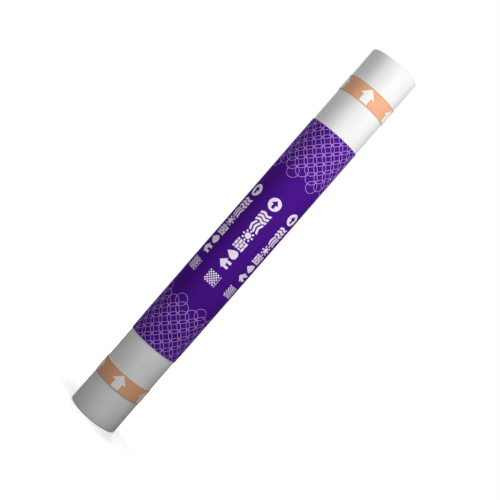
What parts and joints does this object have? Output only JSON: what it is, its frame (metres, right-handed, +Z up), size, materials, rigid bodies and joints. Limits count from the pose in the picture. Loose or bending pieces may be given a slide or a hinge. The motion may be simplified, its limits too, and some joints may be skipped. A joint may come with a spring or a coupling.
{
  "type": "vapour barrier membrane roll",
  "caption": "White vapour barrier membrane wound on a cardboard tube, with a printed sleeve and marked tape bands round it; lines walls and roofs against damp.",
  "frame": {"origin": "centre of the roll's bottom end, on the floor that it stands on", "axes": "+Z up along the roll's axis, and the print column that faces the viewer is on the -Y side"},
  "size_m": [0.195, 0.1948, 1.6],
  "materials": {
    "membrane": "satin",
    "core_cardboard": "matte",
    "sleeve_print": "satin",
    "band_tape": "satin"
  },
  "bodies": {
    "root": {"membrane_roll": "membrane", "core_tube": "core_cardboard", "printed_sleeve": "sleeve_print", "lower_tape_band": "band_tape", "upper_tape_band": "band_tape"}
  },
  "joints": []
}
